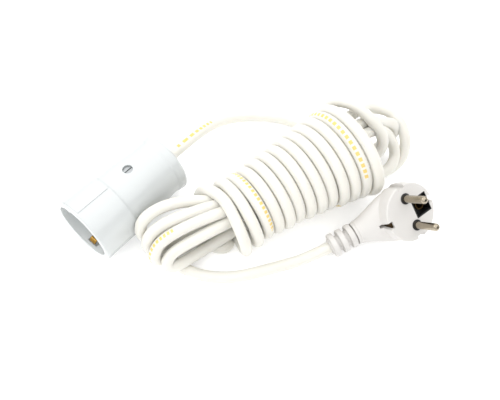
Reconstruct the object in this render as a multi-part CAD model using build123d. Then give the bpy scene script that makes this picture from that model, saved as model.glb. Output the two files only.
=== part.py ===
from build123d import *
import os
from math import cos, pi, radians, sin, tan

# Extension cord: a two-pole trailing socket with side earth clips, a moulded right-angle plug
# and a white cord wound into a hank.  Millimetres.  The socket lies on the ground with its axis
# along X, its mouth facing -X and its cord leaving towards +X.  The origin is on the ground
# under the middle of the socket.

# ---- socket: driving dimensions ----
socket_length = 72.0
collar_length = 26.0
collar_radius = 23.2
grip_raise = 0.4
grip_half_angle = 39.0
grip_roll = -33.5
recess_radius = 19.5
recess_depth = 17.5
floor_thickness = 2.0
cover_radius = 21.8
cover_waist_radius = 20.4
cover_flare_radius = 21.9
cover_wall = 2.3
pin_pitch = 19.0
pin_radius = 2.4
pin_length = 19.0
sleeve_bore_radius = 2.5
sleeve_radius = 3.4
sleeve_seat_radius = 3.5
floor_hole_radius = 2.8
clip_width = 5.0
clip_thickness = 0.7

# ---- cord ----
cord_radius = 3.7
core_radius = 1.15
core_hole_radius = 1.45
line_core_start = (1.35, 0.75)
earth_core_drop = 1.45
ground_gap = 0.05

# ---- plug: driving dimensions ----
plug_origin = (107.6, -146.1, 28.4)
pins_azimuth = -99.7
pins_elevation = 49.0
plug_roll = -2.0
face_radius = 18.5
plug_depth = 18.0
boot_near = (0.0, -32.3, -24.2)
boot_far = (0.0, -44.5, -28.0)
insert_rise = 0.4
opening_half, opening_y1, opening_y2 = 5.5, 3.6, 14.6
earth_hole_y = 9.2
side_contact_y = 15.8
side_contact_width = 4.4
side_slot_width = 5.0
head_back_round = 8.5
ring_radius = 8.0
ring_width = 3.7
ring_pitch = 6.2
ring_count = 4
groove_radius = 5.2

# ---- hank ----
hank_origin = (35.3, -62.2)
hank_azimuth = -17.65
wrap_start, wrap_end = -10.0, 90.0
wrap_start_radius, wrap_end_radius = 23.6, 34.6
wrap_flatness = 0.85

axis_height = collar_radius + grip_raise
front_x = -socket_length / 2
rear_x = socket_length / 2
collar_back_x = front_x + collar_length
floor_front_x = front_x + recess_depth
floor_back_x = floor_front_x + floor_thickness
sleeve_front_x = floor_back_x - 1.0
half_pitch = pin_pitch / 2


# ---- helpers ----
def turned(corners):
    """Solid turned about the X axis from (x, radius) corners."""
    return revolve(make_face(Polyline(*corners, close=True)), Axis.X)


def rod(x1, x2, radius, y=0.0, z=0.0):
    """Round bar along X."""
    return Pos((x1 + x2) / 2, y, z) * Rot(0, 90, 0) * Cylinder(radius, x2 - x1)


def post(z1, z2, radius, x=0.0, y=0.0):
    """Round bar along Z."""
    return Pos(x, y, (z1 + z2) / 2) * Cylinder(radius, z2 - z1)


def block(x1, x2, y1, y2, z1, z2):
    """Box between two corners."""
    return Pos((x1 + x2) / 2, (y1 + y2) / 2, (z1 + z2) / 2) * Box(x2 - x1, y2 - y1, z2 - z1)


def ring_edges(solid, x, radius):
    """The round edges about X at one station and radius."""
    found = []
    for edge in solid.edges().filter_by(GeomType.CIRCLE):
        middle = edge.arc_center
        off_axis = abs(middle.Y) + abs(middle.Z)
        if abs(middle.X - x) < 0.01 and abs(edge.radius - radius) < 0.01 and off_axis < 0.01:
            found.append(edge)
    return found


def pair(piece):
    """The piece and its mirror image across the XZ plane, as one group of separate solids."""
    return Compound([piece, mirror(piece, Plane.XZ)])


def corner_radii(points):
    """Arc radius for each corner: 0.45 of the shorter run over the tangent of half the turn."""
    radii = []
    for before, here, after in zip(points, points[1:], points[2:]):
        run_in = Vector(here) - Vector(before)
        run_out = Vector(after) - Vector(here)
        turn = run_in.get_angle(run_out)
        radii.append(0.45 * min(run_in.length, run_out.length) / tan(radians(turn / 2)))
    return radii


def tube(points, radius):
    """Round tube along straight runs joined by tangent arcs."""
    path = FilletPolyline(*points, radius=corner_radii(points))
    section = Plane(origin=path @ 0, z_dir=path % 0) * Circle(radius)
    return sweep(section, path=path), path


def in_socket(piece):
    """Lift a piece from the socket's own axis to where the socket lies."""
    return piece.moved(Pos(0, 0, axis_height))


# ---- socket housing ----
def front_shell():
    wall_x = collar_back_x + 6.0
    spigot_radius = cover_radius - cover_wall - 0.2
    spigot_inner = spigot_radius - 1.9
    shell = turned([
        (front_x, recess_radius), (front_x, collar_radius), (collar_back_x, collar_radius - 0.3),
        (collar_back_x, spigot_radius), (wall_x, spigot_radius), (wall_x, spigot_inner),
        (floor_back_x, spigot_inner), (floor_back_x, 0), (floor_front_x, 0),
        (floor_front_x, recess_radius)])
    shell = fillet(ring_edges(shell, front_x, collar_radius), 1.3)
    shell = fillet(ring_edges(shell, front_x, recess_radius), 0.6)
    reach_x, reach_y = 40 * cos(radians(grip_half_angle)), 40 * sin(radians(grip_half_angle))
    wedge = make_face(Polyline((0, 0), (reach_x, reach_y), (reach_x, -reach_y), close=True))
    band = turned([(front_x + 1.6, collar_radius - 1.0), (front_x + 1.6, collar_radius + grip_raise),
                   (collar_back_x - 0.8, collar_radius + grip_raise - 0.2),
                   (collar_back_x - 0.8, collar_radius - 1.0)])
    for side in (0, 180):
        sector = extrude(Plane.YZ * Rot(0, 0, 90 + grip_roll + side) * wedge, amount=60, both=True)
        shell += band & sector
    for side in (-1, 1):
        groove = block(front_x + 2.6, floor_front_x, -4.2, 4.2, recess_radius - 1.5, 22.0)
        foot_slot = block(floor_front_x - 0.01, wall_x + 1, -3.2, 3.2, 16.6, 19.0)
        shell -= Rot(90 - 90 * side, 0, 0) * (groove + foot_slot)
        shell -= rod(floor_front_x - 1, floor_back_x + 1, floor_hole_radius, side * half_pitch)
        shell -= rod(sleeve_front_x - 0.1, floor_back_x + 1, sleeve_seat_radius, side * half_pitch)
        shell += block(front_x + 4.0, floor_front_x + 0.5, side * 18.2 - 1.4, side * 18.2 + 1.4, -2.2, 2.2)
    return shell


def rear_cover():
    profile = [
        (collar_back_x + 0.05, cover_radius), (front_x + 44.0, cover_radius - 0.1),
        (front_x + 60.0, cover_waist_radius), (front_x + 64.5, cover_waist_radius),
        (front_x + 66.0, cover_waist_radius + 0.6), (rear_x, cover_flare_radius)]
    inner = [(x, r - cover_wall) for x, r in profile[:-1]]
    inner_end_x = rear_x - 3.2
    outline = profile + [(rear_x, 0), (inner_end_x, 0), (inner_end_x, cover_waist_radius - cover_wall)]
    shell = turned(outline + inner[::-1])
    shell = fillet(ring_edges(shell, rear_x, cover_flare_radius), 2.2)
    boss = post(16.4, 20.5, 5.6, cover_screw_x)
    shell += boss
    shell -= post(17.9, 30.0, 3.3, cover_screw_x)
    shell -= post(10.0, 18.0, 2.1, cover_screw_x)
    shell -= rod(inner_end_x - 1, rear_x + 1, 6.0)
    return shell


cover_screw_x = front_x + 43.0
carrier_back_x = floor_back_x + 11.5
cradle_x1, cradle_x2 = 10.0, 22.0
clamp_screw_y = 10.5
terminal_x1, terminal_x2 = carrier_back_x + 0.1, carrier_back_x + 8.0
terminal_screw_x = terminal_x1 + 4.0


def contact_carrier():
    body = rod(floor_back_x + 0.05, carrier_back_x, 17.0)
    for side in (-1, 1):
        body -= rod(floor_back_x - 1, carrier_back_x + 1, sleeve_seat_radius, side * half_pitch)
        body += block(carrier_back_x - 0.5, cradle_x1 + 1, side * 14.2 - 1.1, side * 14.2 + 1.1, -8.0, -2.0)
    body += block(cradle_x1, cradle_x2, -16.0, 16.0, -9.0, -0.4)
    body -= rod(cradle_x1 - 1, cradle_x2 + 1, cord_radius)
    body += block(carrier_back_x - 0.5, cover_screw_x + 5.5, -6.2, 6.2, 10.5, 16.1)
    body -= block(carrier_back_x + 0.01, carrier_back_x + 2.8, -3.0, 3.0, 5.0, 20.0)
    body -= block(cover_screw_x - 3.6, cover_screw_x + 3.6, -3.6, 8.0, 11.9, 15.1)
    body -= post(9.0, 18.0, 2.1, cover_screw_x)
    for side in (-1, 1):
        body -= post(-7.6, 1.0, 1.5, (cradle_x1 + cradle_x2) / 2, side * clamp_screw_y)
    return body


# ---- contacts and terminals ----
def line_contact():
    sleeve = rod(sleeve_front_x, carrier_back_x + 1.0, sleeve_radius, half_pitch)
    terminal = block(terminal_x1 + 0.5, terminal_x2, half_pitch - 3.4, half_pitch + 3.4, -3.4, 3.4)
    contact = sleeve + terminal
    contact -= rod(sleeve_front_x - 1, carrier_back_x + 1.2, sleeve_bore_radius, half_pitch)
    contact -= block(floor_back_x, carrier_back_x - 4.0, half_pitch - 5, half_pitch - 2, -0.4, 0.4)
    contact -= rod(terminal_x1 + 2.0, terminal_x2 + 1, core_hole_radius, half_pitch)
    contact -= post(1.0, 5.0, 1.5, terminal_screw_x, half_pitch)
    return contact


def slotted_screw(under_head, length, shank_radius, head_radius, head_height, x, y):
    """Screw standing along Z with its head up and a driver slot across the head."""
    screw = post(under_head - length, under_head, shank_radius, x, y)
    screw += post(under_head, under_head + head_height, head_radius, x, y)
    slot_depth = head_height * 0.5
    top = under_head + head_height
    screw -= block(x - head_radius - 1, x + head_radius + 1, y - 0.4, y + 0.4, top - slot_depth, top + 1)
    return screw


earth_leg_radius = 17.7
cross_x = carrier_back_x + 1.4


def earth_bridge():
    leg_x = floor_back_x + 2.0
    line = FilletPolyline((leg_x, earth_leg_radius), (cross_x, earth_leg_radius),
                          (cross_x, -earth_leg_radius), (leg_x, -earth_leg_radius), radius=1.2)
    strip = extrude(Plane.XZ * trace(line, 0.8), amount=clip_width / 2, both=True)
    lug = block(cross_x + 0.3, cross_x + 8.0, -3.2, 3.2, -11.5, -5.2)
    bridge = strip + lug
    bridge -= rod(cross_x + 3.0, cross_x + 9.0, core_hole_radius, 0, -8.4)
    bridge -= post(-7.4, -4.0, 1.5, cross_x + 5.0)
    return bridge


def earth_clip():
    """Upper clip: a sprung strip with an inward belly near the socket's mouth."""
    line = FilletPolyline(
        (floor_back_x + 1.6, earth_leg_radius), (floor_front_x - 1.2, earth_leg_radius),
        (floor_front_x - 4.6, 19.9), (floor_front_x - 8.0, 19.4), (floor_front_x - 12.3, 16.0),
        (floor_front_x - 14.4, 18.2), radius=[1.0, 1.5, 1.6, 1.3])
    return extrude(Plane.XZ * trace(line, clip_thickness), amount=clip_width / 2, both=True)


# ---- cord grip inside the socket ----
def clamp_bar():
    bar = block(cradle_x1 + 2, cradle_x2 - 2, -14.0, 14.0, 0.4, 6.4)
    bar -= rod(cradle_x1, cradle_x2, cord_radius)
    for side in (-1, 1):
        bar -= post(0, 8, 1.7, (cradle_x1 + cradle_x2) / 2, side * clamp_screw_y)
    return bar


def clamp_screws():
    middle = (cradle_x1 + cradle_x2) / 2
    screw = slotted_screw(6.4, 13.4, 1.5, 2.8, 1.8, middle, clamp_screw_y)
    return pair(screw)


bush_inner_x, bush_outer_x = rear_x - 9.0, rear_x + 7.0


def cord_bush():
    bush = turned([
        (bush_inner_x, cord_radius), (bush_inner_x, 5.0), (rear_x - 5.6, 5.8), (rear_x - 5.6, 8.5),
        (rear_x - 3.25, 8.5), (rear_x - 3.25, 5.9), (rear_x + 0.5, 5.9), (bush_outer_x, 4.9),
        (bush_outer_x, cord_radius)])
    return bush


def socket_core(side):
    """Insulated core from the sheath's end to a line terminal."""
    across, up = line_core_start
    points = [(cradle_x1 + 1, side * across, up), (terminal_x2 + 1.8, side * half_pitch, 0),
              (terminal_x1 + 2.4, side * half_pitch, 0)]
    return tube(points, core_radius)[0] - rod(cradle_x1, cradle_x1 + 9, cord_radius + 1)


def socket_earth_core():
    points = [(cradle_x1 + 1, 0, -earth_core_drop), (cross_x + 9.8, 0, -8.4), (cross_x + 3.4, 0, -8.4)]
    return tube(points, core_radius)[0] - rod(cradle_x1, cradle_x1 + 9, cord_radius + 1)


# ---- plug ----
def plug_plane():
    """Frame on the plug's face: local z along the pins, local y towards the earth hole."""
    pins = Vector(cos(radians(pins_azimuth)) * cos(radians(pins_elevation)),
                  sin(radians(pins_azimuth)) * cos(radians(pins_elevation)),
                  sin(radians(pins_elevation)))
    level = Vector(-sin(radians(pins_azimuth)), cos(radians(pins_azimuth)), 0)
    across = pins.cross(level)
    toward_earth = level * cos(radians(plug_roll)) + across * sin(radians(plug_roll))
    return Plane(origin=plug_origin, x_dir=toward_earth.cross(pins), z_dir=pins)


plug_at = plug_plane()
boot_axis = (Vector(boot_far) - Vector(boot_near)).normalized()
boot_up = Vector(0, boot_axis.Z, -boot_axis.Y)
sheath_end = Vector(boot_near) - boot_axis * 10.8
boot_end = Vector(boot_far) + boot_axis * 2.9


def neck():
    """Neck between the plug's round head and the boot, a loft of ovals."""
    stations = [((0, -4.0, -10.2), 17.4, 8.8), ((0, -14.5, -15.4), 14.0, 8.8),
                ((0, -23.5, -20.5), 9.4, 7.8), ((0, -30.0, -23.5), 7.4, 7.2)]
    headings = [(0, -1.0, -0.42), (0, -1.0, -0.5), (0, -1.0, -0.42), boot_axis]
    ovals = []
    for (middle, half_width, half_height), heading in zip(stations, headings):
        ovals.append(Plane(origin=middle, x_dir=(1, 0, 0), z_dir=heading) * Ellipse(half_width, half_height))
    return loft(ovals)


def boot():
    """Ribbed flexible boot: flat rings on a thinner stem."""
    frame = Plane(origin=boot_near, x_dir=(1, 0, 0), z_dir=boot_axis)
    length = (boot_end - Vector(boot_near)).length
    solid = frame * Pos(0, 0, (length - 5.5) / 2) * Cylinder(groove_radius, length + 5.5)
    first = (Vector(boot_far) - Vector(boot_near)).length - (ring_count - 1) * ring_pitch
    for index in range(ring_count):
        disc = Cylinder(ring_radius, ring_width)
        disc = fillet(disc.edges().filter_by(GeomType.CIRCLE), 0.7)
        solid += frame * Pos(0, 0, first + index * ring_pitch) * disc
    return solid


def plug_pin():
    """Line pin with a collar inside the insert and a crimp barrel lying along local y."""
    pin = post(insert_rise, pin_length, pin_radius, half_pitch)
    pin = fillet(pin.edges().group_by(Axis.Z)[-1], 1.9)
    pin += post(-13.0, insert_rise, pin_radius - 0.2, half_pitch)
    pin += post(-6.4, -5.0, 3.0, half_pitch)
    barrel = Pos(half_pitch, -1.4, -14.2) * Rot(90, 0, 0) * Cylinder(1.9, 6.4)
    barrel -= Pos(half_pitch, -3.2, -14.2) * Rot(90, 0, 0) * Cylinder(core_hole_radius, 4.0)
    return pin + barrel


def plug_earth_strap():
    """Earth strap: two side contacts, a cross strip behind the insert and a sleeve for an earth pin."""
    line = FilletPolyline((side_contact_y, -1.4), (side_contact_y, -12.7), (-side_contact_y, -12.7),
                          (-side_contact_y, -1.4), radius=1.3)
    strip = extrude(Plane.YZ * trace(line, 0.9), amount=side_contact_width / 2, both=True)
    sleeve = post(-12.4, -2.2, 3.3, 0, earth_hole_y)
    crimp = Pos(0, -6.5, -14.4) * Rot(90, 0, 0) * Cylinder(1.9, 6.0)
    strap = strip + sleeve + crimp
    strap -= post(-12.0, 0, sleeve_bore_radius, 0, earth_hole_y)
    strap -= Pos(0, -8.2, -14.4) * Rot(90, 0, 0) * Cylinder(core_hole_radius, 4.0)
    return strap


def insert_outline():
    """The insert with its openings filled, as the overmould sees it."""
    solid = block(-13.5, 13.5, -5.6, 5.6, -12.0, -2.6)
    solid += block(-opening_half - 1, opening_half + 1, opening_y1 - 1, opening_y2 + 0.4, -12.0, -0.2)
    for side in (-1, 1):
        solid += post(-3.0, insert_rise, 3.5, side * half_pitch)
    return solid


def plug_insert(pins, strap):
    solid = insert_outline()
    solid -= block(-opening_half, opening_half, opening_y1, opening_y2, -13.0, 1.0)
    for piece in pins + [strap]:
        solid -= piece
    return solid


def sheath_in_boot():
    """Straight end of the sheath inside the boot."""
    length = (boot_end - sheath_end).length
    sheath = Pos(0, 0, length / 2) * Cylinder(cord_radius, length)
    return Plane(origin=sheath_end, x_dir=(1, 0, 0), z_dir=boot_axis) * sheath


def plug_core(side):
    """Insulated core from the sheath's end to a pin's crimp barrel."""
    across, up = line_core_start
    start = sheath_end + boot_axis + boot_up * up
    points = [(side * across, start.Y, start.Z), (side * 5.2, -15.0, -15.4),
              (side * half_pitch, -9.2, -14.2), (side * half_pitch, -3.8, -14.2)]
    return tube(points, core_radius)[0] - sheath_in_boot()


def plug_earth_core():
    start = sheath_end + boot_axis - boot_up * earth_core_drop
    points = [tuple(start), (0, -15.6, -17.2), (0, -8.8, -14.5)]
    return tube(points, core_radius)[0] - sheath_in_boot()


def plug_body(inner_pieces):
    head = post(-plug_depth, 0, face_radius)
    head = fillet(head.edges().filter_by(GeomType.CIRCLE).group_by(Axis.Z)[0], head_back_round)
    head = fillet(head.edges().filter_by(GeomType.CIRCLE).group_by(Axis.Z)[-1], 1.0)
    solid = head + neck() + boot()
    half = side_slot_width / 2
    wedge = make_face(Polyline((-half, 1.0), (half, 1.0), (0.5, -12.2), (-0.5, -12.2), close=True))
    for side in (-1, 1):
        slot = Plane.XZ.offset(-side * 17.45) * wedge
        solid -= extrude(slot, amount=2.45, both=True)
        solid -= block(side * 17.8 - 1.6, side * 17.8 + 1.6, -2.7, 2.7, -20.0, 1.0)
    mouth = block(-opening_half - 1, opening_half + 1, opening_y1 - 1, opening_y2 + 0.4, -1.0, 1.0)
    for piece in [insert_outline(), mouth, sheath_in_boot()] + inner_pieces:
        solid -= piece
    return solid


# ---- cord outside the socket and the plug ----
rest_height = cord_radius + ground_gap
socket_lead_route = [
    (cradle_x1, 0, axis_height), (56.0, 0, axis_height), (79.0, 1.5, 18.0), (99.0, 1.5, 8.0),
    (116.0, -8.0, rest_height), (128.5, -26.0, rest_height), (133.5, -46.0, rest_height),
    (131.0, -63.0, rest_height)]


def plug_lead_route():
    start = plug_at.from_local_coords(tuple(sheath_end))
    leave = plug_at.from_local_coords(tuple(boot_end + boot_axis * 12.0))
    ground = [(31.0, -99.5, rest_height), (8.0, -84.5, rest_height), (-5.0, -66.0, rest_height),
              (-8.5, -46.5, rest_height)]
    return [tuple(start), (leave.X, leave.Y, rest_height + 0.4)] + ground


def hank_plane(along):
    """Upright plane across the hank: local x level, local y up."""
    heading = (cos(radians(hank_azimuth)), sin(radians(hank_azimuth)), 0)
    origin = (hank_origin[0] + along * heading[0], hank_origin[1] + along * heading[1], 0)
    return Plane(origin=origin, x_dir=(-heading[1], heading[0], 0), z_dir=heading)


def hank_section(along, across, middle_height, half_width, half_height):
    """Oval slice of the hank; across is positive on the side where the plug lies."""
    return hank_plane(along) * Pos(-across, middle_height) * Ellipse(half_width, half_height)


def hank_wraps():
    """Outer shape of the close turns round the hank."""
    low, high = wrap_start_radius * wrap_flatness, wrap_end_radius * wrap_flatness
    return loft([
        hank_section(wrap_start, 0, low + ground_gap, wrap_start_radius, low),
        hank_section(wrap_end, 0, high + ground_gap, wrap_end_radius, high)])


def hank_left_loops():
    """Outer shape of the folded strands beyond the hank's narrow end."""
    solid = loft([
        hank_section(wrap_start, -2.0, 19.0, 18.0, 18.0),
        hank_section(-34.0, -6.0, 20.0, 19.0, 19.0),
        hank_section(-52.0, -7.0, 19.0, 18.0, 18.0),
        hank_section(-60.0, -7.0, 18.0, 13.0, 13.0)])
    return solid - in_socket(rod(front_x - 5, 60, collar_radius + grip_raise + 0.3))


def hank_right_loops():
    """Outer shape of the loops beyond the hank's wide end."""
    return loft([
        hank_section(wrap_end, -2.0, 29.0, 28.0, 27.0),
        hank_section(110.0, -4.0, 26.0, 27.0, 25.0),
        hank_section(126.0, -3.0, 20.0, 21.0, 17.0),
        hank_section(137.0, -2.0, 18.0, 13.0, 12.0)])


# ---- build and write every piece ----
def main():
    os.makedirs("parts", exist_ok=True)
    live_contact = line_contact()
    neutral_contact = mirror(live_contact, Plane.XZ)
    upper_clip = earth_clip()
    socket_pieces = {
        "socket_front_shell": front_shell(),
        "socket_rear_cover": rear_cover(),
        "contact_carrier": contact_carrier(),
        "contact_live": live_contact,
        "contact_neutral": neutral_contact,
        "line_terminal_screws": pair(
            slotted_screw(3.4, 2.2, 1.5, 2.6, 1.8, terminal_screw_x, half_pitch)),
        "earth_bridge": earth_bridge(),
        "earth_terminal_screw": slotted_screw(-5.2, 2.0, 1.5, 2.6, 1.8, cross_x + 5.0, 0),
        "earth_clip_upper": upper_clip,
        "earth_clip_lower": Rot(180, 0, 0) * upper_clip,
        "cover_screw": slotted_screw(18.0, 7.4, 2.0, 3.1, 2.2, cover_screw_x, 0),
        "cover_nut": block(cover_screw_x - 3.5, cover_screw_x + 3.5, -3.5, 3.5, 12.0, 15.0)
        - post(10, 17, 2.05, cover_screw_x),
        "cord_clamp_bar": clamp_bar(),
        "cord_clamp_screws": clamp_screws(),
        "cord_bush": cord_bush(),
        "socket_core_live": socket_core(1),
        "socket_core_neutral": socket_core(-1),
        "socket_core_earth": socket_earth_core(),
    }
    pins = [plug_pin(), mirror(plug_pin(), Plane.YZ)]
    strap = plug_earth_strap()
    plug_cores = [plug_core(1), plug_core(-1), plug_earth_core()]
    plug_pieces = {
        "plug_body": plug_body(pins + [strap] + plug_cores),
        "plug_insert": plug_insert(pins, strap),
        "plug_pin_live": pins[0],
        "plug_pin_neutral": pins[1],
        "plug_earth_strap": strap,
        "plug_core_live": plug_cores[0],
        "plug_core_neutral": plug_cores[1],
        "plug_core_earth": plug_cores[2],
    }
    left, right, wraps = hank_left_loops(), hank_right_loops(), hank_wraps()
    cord_pieces = {"hank_wraps": wraps, "hank_left_loops": left, "hank_right_loops": right}
    for name, route in (("socket_lead", socket_lead_route), ("plug_lead", plug_lead_route())):
        lead, path = tube(route, cord_radius)
        lead = lead - left - right
        cord_pieces[name] = lead
        print(name, "radii", [round(r, 1) for r in corner_radii(route)], "length", round(path.length, 1),
              "volume ratio", round(lead.volume / (pi * cord_radius ** 2 * path.length), 3))

    for name, piece in socket_pieces.items():
        export_step(in_socket(piece), f"parts/{name}.step")
    for name, piece in plug_pieces.items():
        export_step(plug_at.location * piece, f"parts/{name}.step")
    for name, piece in cord_pieces.items():
        export_step(piece, f"parts/{name}.step")


main()
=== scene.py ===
import bpy
import math
import numpy as np
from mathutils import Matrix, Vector


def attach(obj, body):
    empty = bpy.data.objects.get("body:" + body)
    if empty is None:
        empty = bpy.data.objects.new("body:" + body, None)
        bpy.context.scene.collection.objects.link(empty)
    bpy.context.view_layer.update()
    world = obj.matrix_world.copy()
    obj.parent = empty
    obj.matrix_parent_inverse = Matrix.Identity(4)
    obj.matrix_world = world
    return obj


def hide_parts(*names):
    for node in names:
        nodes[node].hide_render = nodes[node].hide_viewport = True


# Extension cord: white trailing socket, cord wound into a hank, right-angle plug.
# Everything is in metres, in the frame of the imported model.
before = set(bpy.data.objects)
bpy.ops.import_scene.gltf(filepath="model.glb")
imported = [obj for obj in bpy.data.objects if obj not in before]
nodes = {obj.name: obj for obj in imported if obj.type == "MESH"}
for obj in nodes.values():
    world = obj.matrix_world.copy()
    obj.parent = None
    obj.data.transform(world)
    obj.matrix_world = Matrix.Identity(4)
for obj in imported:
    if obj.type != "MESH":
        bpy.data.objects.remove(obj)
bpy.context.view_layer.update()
mainBody = "socket_and_cord"
mm = 0.001


# ---- camera ----
cameraSet = {
    "place": (-0.10206, -0.19653, 0.35506),
    "target": (0.06088, -0.05339, 0.0),
    "lens": 43.69,
    "sensor": 36.0,
    "near": 0.01,
}


def makeCamera(settings):
    camera = bpy.data.objects.new("camera", bpy.data.cameras.new("camera"))
    bpy.context.scene.collection.objects.link(camera)
    camera.data.lens = settings["lens"]
    camera.data.sensor_width = settings["sensor"]
    camera.data.clip_start = settings["near"]
    camera.location = settings["place"]
    heading = Vector(settings["target"]) - camera.location
    camera.rotation_euler = heading.to_track_quat("-Z", "Y").to_euler()
    bpy.context.scene.camera = camera


makeCamera(cameraSet)
print("camera placed")

# ---- cord ----
cordSet = {
    "diameter": 0.0074,
    "flatsAllowance": 1.02,   # the tube's flat sides lie inside its nominal radius
    "length": 4.0,
    "exit": (0.036, 0.0, 0.0236),
    "hankOrigin": (35.3, -62.2),
    "hankAlong": (0.9529, -0.3033),
    "wraps": 13,
    "pointsPerTurn": 16,
    "firstTop": 86.2,         # where the wrap nearest the wide end crosses the top
    "pitch": 7.49,
    "halfWidthAtZero": 20.5,  # of the wrap's centreline, at the narrow end
    "halfWidthGrowth": 0.1274,
    "flatness": 0.85,
    "tightTurns": 11.2,       # after these the wraps slacken and stand out sideways
    "slackWidth": 2.6,        # per turn
    "slackAlong": 2.0,
    "drawnIn": 1.6,           # the middle turns are narrower and lean to the far side
    "unevenness": 0.5,
    "unevenRate": 2.3,        # radians per turn
    "restHeight": 3.75,
}

# From inside the socket to the ground and up to the hank's wide end.
socketRun = [
    (0.010, 0.0, 0.0236), (0.056, 0.0, 0.0236), (0.079, 0.0015, 0.018), (0.099, 0.0015, 0.008),
    (0.116, -0.008, 0.00375), (0.1285, -0.026, 0.00375), (0.1335, -0.046, 0.00375),
    (0.131, -0.063, 0.00375)]

# From under the narrow end along the ground and up into the plug.
plugRun = [
    (-0.0085, -0.0465, 0.00375), (-0.005, -0.066, 0.00375), (0.008, -0.0845, 0.00375),
    (0.031, -0.0995, 0.00375), (0.0536, -0.1137, 0.00415), (0.0884, -0.1283, 0.0131)]

# The strands inside and the loops at both ends, each point as millimetres along the hank,
# across it towards the plug, and up.
strandsAndLoops = [
    # into the wide end and through to the narrow end
    (96, -20, 4.5), (98.5, -12.5, 8), (93.5, -7, 13), (84, -6.5, 15), (60, -8, 14.5), (30, -9, 14.5),
    (8, -9.2, 15.5), (-3, -9.5, 15.5),
    # farthest narrow loop, from its foot to its top
    (-11, -11.5, 12.8), (-19, -14.5, 10.6), (-30, -17, 10.3), (-40, -17.6, 10.3), (-48, -18, 10.8),
    (-54.3, -18.6, 15.5), (-56, -19.5, 24), (-53, -19.9, 32.5), (-46, -20, 37), (-36, -19.8, 37.3),
    (-25, -17.8, 35.5), (-15, -14.8, 32), (-5, -12, 26.5), (8, -11, 26), (40, -12, 32), (70, -13, 38),
    # outermost wide loop
    (88, -13.5, 42.5), (98, -14.5, 44.5), (107, -17, 41.5), (115, -19.5, 36), (122, -19, 32.5),
    (128, -15.5, 31),
    (131.5, -11, 30), (133.5, -4, 28), (133.8, 3, 23.5), (132.5, 9, 16.5), (129, 13, 9.5),
    (123, 14.4, 5), (116, 14.5, 3.8), (108, 13, 4.2), (101, 11, 8), (94, 9.5, 13), (84, 9, 13.8),
    (60, 8.5, 13.5), (35, 7, 13), (10, 5, 12.5), (-5, 4.8, 12.2),
    # nearest narrow loop
    (-15, 4.4, 9.2), (-26, 5, 8.4), (-35, 6, 9.2), (-43.5, 7, 10.6), (-50, 6.3, 11.4), (-50.8, 4.2, 16.5),
    (-45, 3, 21.5), (-36, 3.6, 24.5), (-28, 4.2, 26), (-18, 4.8, 27), (-8, 5.2, 27.5), (4, 5.5, 27.5),
    (40, 4, 31.5), (75, 2.5, 36.5),
    # innermost wide loop
    (92, 1.8, 41.5), (102, 1, 41.5), (111, 0.6, 37), (118, 1.2, 30), (122.3, 3.5, 22.5), (123.6, 8, 16.5),
    (121.3, 12.5, 12), (115, 16.2, 11.2), (108, 18.3, 11.5), (100, 17.3, 14), (91, 15.5, 18), (78, 13.5, 20),
    (50, 9, 20.5), (20, 2, 20.3), (-3, -1.2, 19.8),
    # third narrow loop
    (-11, -1.8, 16.5), (-20, -2, 12.8), (-30, -2.2, 10.8), (-40, -2.3, 10.2), (-49, -2.3, 10.4),
    (-54, -1, 12.4), (-56, -2, 19), (-51, -3.8, 26), (-44, -3.6, 30), (-37, -3, 32),
    (-29, -2.6, 32.8), (-21, -1.8, 33.2), (-13, -0.9, 33), (-5, -0.5, 31.4), (30, -3, 34.5), (65, -5.5, 39),
    # middle wide loop
    (88, -6.2, 43.5), (99, -6, 44), (108, -6.6, 40), (116, -5.8, 34.5), (123, -4.4, 31.5),
    (128.5, -2.4, 28.5),
    (129.5, -1, 21), (126.5, -2.5, 12.5), (119, -4, 5.2), (108, -3, 4), (100, -1.5, 8.5), (93, 0, 12.3),
    (84, 1, 12.5), (55, -0.5, 12.3), (25, -2, 12), (5, -3, 12), (-5, -3.5, 12),
    # second narrow loop
    (-13, -6, 10.8), (-22, -8.8, 10.3), (-32, -10, 10.3), (-42, -10.5, 10.3), (-50.5, -11.2, 10.8),
    (-55, -11, 14), (-56, -11.2, 21.5), (-51.5, -11.8, 29), (-43.5, -11.4, 33), (-35, -10.2, 34.6),
    (-25, -8.6, 34.8), (-15, -7.8, 33.2), (-5, -7.6, 29.8), (15, -5, 27.5), (40, 0, 26), (65, 5, 27),
    (85, 8, 27.5),
    # up and over, into the first wrap
    (95, 9.5, 27), (103.5, 11.5, 28), (108, 10.5, 34), (108.2, 6, 41), (105.8, 0.5, 46.5),
    (103, -5.5, 50.5), (100.3, -11.5, 53.5), (97.5, -18, 53.5), (94.8, -25, 50), (92.8, -31, 43.5)]

# The last wrap lets go: under the hank, a small bend, and back to the far side.
tailRun = [
    (-8, -21.5, 32), (-11.5, -25.5, 22), (-13, -23.5, 12), (-12.5, -16, 5), (-10, -7, 3.7), (-7.5, 1, 3.7),
    (-8, 8, 3.75), (-14, 8.5, 3.75), (-20, 1.5, 3.75), (-28, -8, 3.75), (-35, -17, 3.75),
    (-43, -20, 3.75), (-49, -13.5, 3.75)]


def fromHank(points, settings):
    # place = origin + along * s + across * w, and z as it is; across is along turned a quarter
    s, w, z = np.array(points, float).T
    ax, ay = settings["hankAlong"]
    ox, oy = settings["hankOrigin"]
    return np.stack([ox + ax * s + ay * w, oy + ay * s - ax * w, z], 1) * mm


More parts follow.
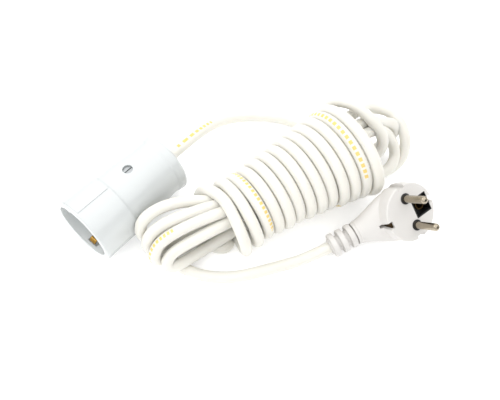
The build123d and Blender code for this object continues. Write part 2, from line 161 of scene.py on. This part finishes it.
def wrapPoints(settings):
    # Each turn is an oval on the ground: across = -half width * sin(angle), height = middle + half
    # height * cos(angle). Half width grows along the hank, plus slack after the tight turns and a
    # sine of the turn, less what the middle turns are drawn in. Angle 0 is the top.
    perTurn = settings["pointsPerTurn"]
    points = []
    for step in range(perTurn // 4, settings["wraps"] * perTurn + 2):
        angle = 2 * math.pi * step / perTurn
        along = settings["firstTop"] + settings["pitch"] * (1 - step / perTurn)
        halfWidth = settings["halfWidthAtZero"] + settings["halfWidthGrowth"] * along
        halfHeight = settings["flatness"] * halfWidth
        turns = step / perTurn
        slack = max(0.0, turns - settings["tightTurns"])
        drawnIn = settings["drawnIn"] * math.sin(math.pi * turns / settings["wraps"])
        uneven = settings["unevenness"] * math.sin(settings["unevenRate"] * turns)
        halfWidth += settings["slackWidth"] * slack + uneven - drawnIn
        outward = 1 / math.cos(math.pi / perTurn)  # the spline runs inside its points
        middle = settings["restHeight"] + halfHeight
        points.append((along - settings["slackAlong"] * slack * max(0.0, -math.sin(angle)),
                       -drawnIn - halfWidth * outward * math.sin(angle),
                       middle + halfHeight * outward * math.cos(angle)))
    return points


def makeCord(settings):
    hank = fromHank(strandsAndLoops + wrapPoints(settings) + tailRun, settings)
    points = np.concatenate([np.array(socketRun), hank, np.array(plugRun)])
    curve = bpy.data.curves.new("cord", "CURVE")
    curve.dimensions = "3D"
    curve.bevel_depth = 1.0  # metres, times each point's radius below
    curve.bevel_resolution = 5
    curve.use_fill_caps = True
    curve.resolution_u = 6
    spline = curve.splines.new("NURBS")
    spline.points.add(len(points) - 1)
    spline.points.foreach_set("co", np.column_stack([points, np.ones(len(points))]).ravel())
    tubeRadius = settings["diameter"] / 2 * settings["flatsAllowance"]
    spline.points.foreach_set("radius", np.full(len(points), tubeRadius))
    spline.order_u = 3
    spline.use_endpoint_u = True
    cord = bpy.data.objects.new("cord", curve)
    bpy.context.scene.collection.objects.link(cord)
    print("cord points", len(points))
    return cord


cord = makeCord(cordSet)
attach(cord, mainBody)
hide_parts("socket_lead", "plug_lead", "hank_wraps", "hank_left_loops", "hank_right_loops")


# ---- materials ----
def hexColor(text, alpha=1.0):
    # sRGB hex to linear: c / 12.92 below 0.04045, else ((c + 0.055) / 1.055) to the 2.4
    parts = [int(text[i:i + 2], 16) / 255 for i in (0, 2, 4)]
    return tuple(c / 12.92 if c <= 0.04045 else ((c + 0.055) / 1.055) ** 2.4 for c in parts) + (alpha,)


def addNode(tree, kind, settings=None, links=None):
    # settings are node attributes, or input sockets by name or number; links are input -> output
    node = tree.nodes.new(kind)
    for key, value in (settings or {}).items():
        if isinstance(key, int) or key in node.inputs:
            node.inputs[key].default_value = value
        else:
            setattr(node, key, value)
    for key, source in (links or {}).items():
        tree.links.new(source, node.inputs[key])
    return node


# Shared by all the surfaces: where the slow noise's useful range lies, and the grain's height
# as a share of its size.
grainSet = {"driftLow": 0.3, "driftHigh": 0.7, "liftShare": 0.1}


def surfaceMaterial(name, look):
    # Base colour = first + (second - first) * slow noise. Roughness climbs from low to high over
    # the same noise. Height = fine noise, a tenth of the grain's size.
    material = bpy.data.materials.new(name)
    material.use_nodes = True
    tree = material.node_tree
    tree.nodes.clear()
    out = addNode(tree, "ShaderNodeOutputMaterial")
    shader = addNode(tree, "ShaderNodeBsdfPrincipled", look["shader"])
    tree.links.new(shader.outputs[0], out.inputs[0])
    place = addNode(tree, "ShaderNodeTexCoord").outputs["Object"]
    if "stretch" in look:
        place = addNode(tree, "ShaderNodeMapping", {"Scale": look["stretch"]}, {"Vector": place}).outputs[0]
    drift = addNode(tree, "ShaderNodeTexNoise", {"Scale": 1 / (look["driftMm"] * mm), "Detail": 3.0},
                    {"Vector": place})
    tone = addNode(tree, "ShaderNodeMix", {"data_type": "RGBA"}, {"Factor": drift.outputs["Fac"]})
    tone.inputs[6].default_value = hexColor(look["colors"][0])
    tone.inputs[7].default_value = hexColor(look["colors"][1])
    tree.links.new(tone.outputs[2], shader.inputs["Base Color"])
    grain = addNode(tree, "ShaderNodeTexNoise", {"Scale": 1 / (look["grainMm"] * mm), "Detail": 4.0},
                    {"Vector": place})
    low, high = look["roughness"]
    rough = addNode(tree, "ShaderNodeMapRange",
                    {"From Min": grainSet["driftLow"], "From Max": grainSet["driftHigh"],
                     "To Min": low, "To Max": high}, {"Value": drift.outputs["Fac"]})
    tree.links.new(rough.outputs[0], shader.inputs["Roughness"])
    lift = look["grainMm"] * grainSet["liftShare"] * mm
    bump = addNode(tree, "ShaderNodeBump", {"Strength": look["bump"], "Distance": lift},
                   {"Height": grain.outputs["Fac"]})
    tree.links.new(bump.outputs[0], shader.inputs["Normal"])
    return material, tree, shader, tone


looks = {
    # urea moulding powder pressed in a polished tool: bright, cool, hard gloss with faint flow
    "ureaGlossWhite": {"colors": ("C8CCCC", "CDD0D0"), "driftMm": 14, "grainMm": 0.6, "bump": 0.05,
                       "roughness": (0.16, 0.24), "shader": {"Metallic": 0.0, "IOR": 1.58}},
    # soft PVC sheath: warm white, satin, slightly waxy
    "pvcSheathWhite": {"colors": ("DAD8D0", "E0DED7"), "driftMm": 9, "grainMm": 0.5, "bump": 0.12,
                       "roughness": (0.34, 0.44),
                       "shader": {"Metallic": 0.0, "IOR": 1.53, "Subsurface Weight": 0.5,
                                  "Subsurface Radius": (1.0, 0.95, 0.85), "Subsurface Scale": 0.005}},
    # PVC overmould from a spark-eroded tool: fine even grain, matte
    "pvcOvermouldWhite": {"colors": ("CCC9C5", "D2D0CD"), "driftMm": 11, "grainMm": 0.35, "bump": 0.3,
                          "roughness": (0.45, 0.55), "shader": {"Metallic": 0.0, "IOR": 1.53}},
    # glass-filled polyamide: grey with a dry grain
    "polyamideGrey": {"colors": ("B9B9B6", "C4C4C0"), "driftMm": 6, "grainMm": 0.3, "bump": 0.25,
                      "roughness": (0.5, 0.62), "shader": {"Metallic": 0.0, "IOR": 1.53}},
    # black thermoset insert: deep, half gloss
    "thermosetBlack": {"colors": ("0B0B0C", "151516"), "driftMm": 5, "grainMm": 0.3, "bump": 0.2,
                       "roughness": (0.3, 0.42), "shader": {"Metallic": 0.0, "IOR": 1.58}},
    # stamped brass strip: rolled lines along its length, a little tarnish
    "brassStamped": {"colors": ("B58E45", "8F6C34"), "driftMm": 3, "grainMm": 0.25, "bump": 0.25,
                     "roughness": (0.22, 0.42), "stretch": (1.0, 6.0, 6.0), "shader": {"Metallic": 1.0}},
    # bronze strip deep in the plug: its dull dark brown is painted shade, standing for the shade of the slot
    # it lies in
    "bronzePaintedShade": {"colors": ("4E3C22", "3A2C1B"), "driftMm": 3, "grainMm": 0.25, "bump": 0.3,
                        "roughness": (0.4, 0.55), "stretch": (6.0, 1.0, 6.0), "shader": {"Metallic": 1.0}},
    # turned and nickel-plated pin: warm grey mirror with fine turning rings
    "nickelTurned": {"colors": ("B3AA99", "9C9281"), "driftMm": 4, "grainMm": 0.3, "bump": 0.2,
                     "roughness": (0.16, 0.28), "shader": {"Metallic": 1.0}},
    # zinc-plated screw steel: pale grey, slightly blue, dull in the slot
    "steelZincPlated": {"colors": ("B4B7B8", "9A9D9E"), "driftMm": 2.5, "grainMm": 0.25, "bump": 0.3,
                        "roughness": (0.28, 0.45), "shader": {"Metallic": 1.0}},
    "coreSheathBrown": {"colors": ("4A2A18", "56331F"), "driftMm": 4, "grainMm": 0.3, "bump": 0.15,
                        "roughness": (0.35, 0.45), "shader": {"Metallic": 0.0, "IOR": 1.53}},
    "coreSheathBlue": {"colors": ("1E5FB0", "2A6BBC"), "driftMm": 4, "grainMm": 0.3, "bump": 0.15,
                       "roughness": (0.35, 0.45), "shader": {"Metallic": 0.0, "IOR": 1.53}},
    "coreSheathGreenYellow": {"colors": ("2F8A3A", "D8D02C"), "driftMm": 2, "grainMm": 0.3, "bump": 0.15,
                              "roughness": (0.35, 0.45), "shader": {"Metallic": 0.0, "IOR": 1.53}},
}
materials = {name: surfaceMaterial(name, look)[0] for name, look in looks.items()}

# Plain yellow print marks: (start, end, middle round the tube, period), all as shares of the
# tube's length or girth.
printSet = {
    "color": "E0BE3C",
    "strength": 0.8,
    "inked": 0.62,
    "halfBand": 0.05,
    "windows": [(0.0014, 0.0044, 0.18, 0.00042), (0.234, 0.2475, 0.27, 0.0009),
                (0.456, 0.473, 0.59, 0.0009), (0.534, 0.539, 0.6, 0.0009),
                (0.849, 0.868, 0.17, 0.0009)],
}


def printMarks(tree, shader, tone, settings):
    # a mark is where start < u < end, |v - middle| < half band and fract(u / period) < inked
    place = addNode(tree, "ShaderNodeTexCoord").outputs["UV"]
    shares = addNode(tree, "ShaderNodeSeparateXYZ", None, {0: place}).outputs
    marks = None
    for start, end, middle, period in settings["windows"]:
        count = addNode(tree, "ShaderNodeMath", {"operation": "DIVIDE", 1: period}, {0: shares[0]})
        phase = addNode(tree, "ShaderNodeMath", {"operation": "FRACT"}, {0: count.outputs[0]})
        mark = addNode(tree, "ShaderNodeMath", {"operation": "LESS_THAN", 1: settings["inked"]},
                       {0: phase.outputs[0]})
        tests = [("GREATER_THAN", start, 0), ("LESS_THAN", end, 0), ("COMPARE", middle, 1)]
        for operation, value, share in tests:
            test = addNode(tree, "ShaderNodeMath", {"operation": operation, 1: value,
                                                    2: settings["halfBand"]}, {0: shares[share]})
            mark = addNode(tree, "ShaderNodeMath", {"operation": "MULTIPLY"},
                           {0: mark.outputs[0], 1: test.outputs[0]})
        marks = mark if marks is None else addNode(
            tree, "ShaderNodeMath", {"operation": "ADD"}, {0: marks.outputs[0], 1: mark.outputs[0]})
    faded = addNode(tree, "ShaderNodeMath", {"operation": "MULTIPLY", 1: settings["strength"]},
                    {0: marks.outputs[0]})
    inked = addNode(tree, "ShaderNodeMix", {"data_type": "RGBA", 7: hexColor(settings["color"])},
                    {"Factor": faded.outputs[0], 6: tone.outputs[2]})
    tree.links.new(inked.outputs[2], shader.inputs["Base Color"])


nodeMaterials = {
    "ureaGlossWhite": ["socket_front_shell", "socket_rear_cover"],
    "pvcSheathWhite": ["cord_bush"],
    "pvcOvermouldWhite": ["plug_body"],
    "polyamideGrey": ["contact_carrier", "cord_clamp_bar"],
    "thermosetBlack": ["plug_insert"],
    "brassStamped": ["contact_live", "contact_neutral", "earth_bridge", "earth_clip_upper",
                     "earth_clip_lower"],
    # the plug's earth strap gets the dark brown that is painted shade for its slot
    "bronzePaintedShade": ["plug_earth_strap"],
    "nickelTurned": ["plug_pin_live", "plug_pin_neutral"],
    "steelZincPlated": ["line_terminal_screws", "earth_terminal_screw", "cover_screw", "cover_nut",
                        "cord_clamp_screws"],
    "coreSheathBrown": ["socket_core_live", "plug_core_live"],
    "coreSheathBlue": ["socket_core_neutral", "plug_core_neutral"],
    "coreSheathGreenYellow": ["socket_core_earth", "plug_core_earth"],
}


def dress(obj, material):
    obj.data.materials.clear()
    obj.data.materials.append(material)


for name, members in nodeMaterials.items():
    for member in members:
        dress(nodes[member], materials[name])
cordMaterial, cordTree, cordShader, cordTone = surfaceMaterial(
    "pvcSheathPrinted", looks["pvcSheathWhite"])
printMarks(cordTree, cordShader, cordTone, printSet)
dress(cord, cordMaterial)
print("materials on", len(nodes), "nodes")

# ---- floor and light ----
stageSet = {
    "floorSize": 4.0,
    "floorColor": "F7F7F7",
    "floorGlow": 0.25,
    "sky": 1.7,
    "horizon": 0.5,
    "skyReach": 0.7,          # height of the unit ray at which the sky is at its brightest
    "aim": (0.05, -0.06, 0.0),
    "cards": [  # matt black boards out of view, for the metal to mirror
        {"name": "frontCard", "middle": (0.2, -1.1, 0.45), "half": (0.45, 0.2)},
        {"name": "sideCard", "middle": (1.2, -0.3, 0.4), "half": (0.3, 0.15)},
    ],
    "lights": [
        {"name": "keyLight", "place": (-0.35, 0.6, 0.9), "size": 0.7, "power": 2.4},
        {"name": "fillLight", "place": (0.5, -0.2, 1.1), "size": 0.9, "power": 0.8},
    ],
}


def flatBoard(name, wide, tall):
    # one flat face, twice the given halves wide and tall
    mesh = bpy.data.meshes.new(name)
    mesh.from_pydata([(-wide, -tall, 0), (wide, -tall, 0), (wide, tall, 0), (-wide, tall, 0)],
                     [], [(0, 1, 2, 3)])
    board = bpy.data.objects.new(name, mesh)
    bpy.context.scene.collection.objects.link(board)
    return board


def makeStage(settings):
    half = settings["floorSize"] / 2
    floor = flatBoard("floor", half, half)
    material = bpy.data.materials.new("paperWhite")
    material.use_nodes = True
    shader = material.node_tree.nodes["Principled BSDF"]
    shader.inputs["Base Color"].default_value = hexColor(settings["floorColor"])
    shader.inputs["Roughness"].default_value = 0.9
    shader.inputs["Specular IOR Level"].default_value = 0.1
    shader.inputs["Emission Color"].default_value = (1, 1, 1, 1)
    shader.inputs["Emission Strength"].default_value = settings["floorGlow"]  # a light table
    dress(floor, material)
    black = bpy.data.materials.new("boardBlack")
    black.use_nodes = True
    black.node_tree.nodes["Principled BSDF"].inputs["Base Color"].default_value = (0.02, 0.02, 0.02, 1)
    for card in settings["cards"]:
        board = flatBoard(card["name"], *card["half"])
        board.location = card["middle"]
        board.rotation_euler = board.location.to_track_quat("-Z", "Y").to_euler()
        board.visible_camera = False
        dress(board, black)
    world = bpy.data.worlds.new("studio")
    world.use_nodes = True
    # brightness = a straight climb from the horizon to the upper sky with the height of the ray
    sky = world.node_tree
    ray = addNode(sky, "ShaderNodeTexCoord").outputs["Generated"]
    height = addNode(sky, "ShaderNodeSeparateXYZ", None, {0: ray}).outputs[2]
    climb = addNode(sky, "ShaderNodeMapRange",
                    {"From Max": settings["skyReach"], "To Min": settings["horizon"],
                     "To Max": settings["sky"]}, {"Value": height})
    sky.nodes["Background"].inputs[0].default_value = (1, 1, 1, 1)
    sky.links.new(climb.outputs[0], sky.nodes["Background"].inputs[1])
    bpy.context.scene.world = world
    bpy.context.scene.view_settings.view_transform = "Standard"
    for light in settings["lights"]:
        data = bpy.data.lights.new(light["name"], "AREA")
        data.size = light["size"]
        data.energy = light["power"]
        lamp = bpy.data.objects.new(light["name"], data)
        lamp.location = light["place"]
        heading = Vector(settings["aim"]) - lamp.location
        lamp.rotation_euler = heading.to_track_quat("-Z", "Y").to_euler()
        bpy.context.scene.collection.objects.link(lamp)


makeStage(stageSet)
print("stage ready")

bpy.context.view_layer.update()
